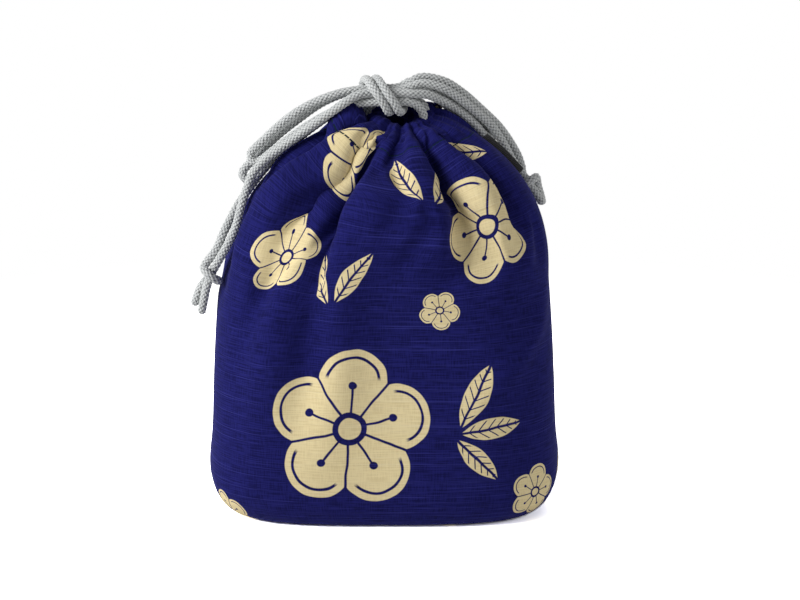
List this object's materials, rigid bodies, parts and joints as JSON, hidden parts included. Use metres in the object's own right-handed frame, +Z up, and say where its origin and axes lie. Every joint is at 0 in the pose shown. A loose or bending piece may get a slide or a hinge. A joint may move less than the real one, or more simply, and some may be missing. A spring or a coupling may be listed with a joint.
{
  "type": "drawstring pouch",
  "caption": "Printed cotton drawstring pouch standing full with its mouth drawn shut, its braided cords tied in a bow over the neck and hanging in knotted tails.",
  "frame": {"origin": "middle of the flat base, on the surface that the pouch stands on", "axes": "+Z up from the base to the drawn mouth, +X to the right as seen from the front, -Y out of the front"},
  "size_m": [0.2025, 0.1158, 0.2393],
  "materials": {
    "cloth": "matte slub cotton, navy with a cream print",
    "cord": "matte braided polyester, light grey",
    "label": "matte woven tape, black"
  },
  "bodies": {
    "root": {"pouch": "cloth", "left_cord": "cord", "right_cord": "cord", "side_label": "label"}
  },
  "joints": []
}
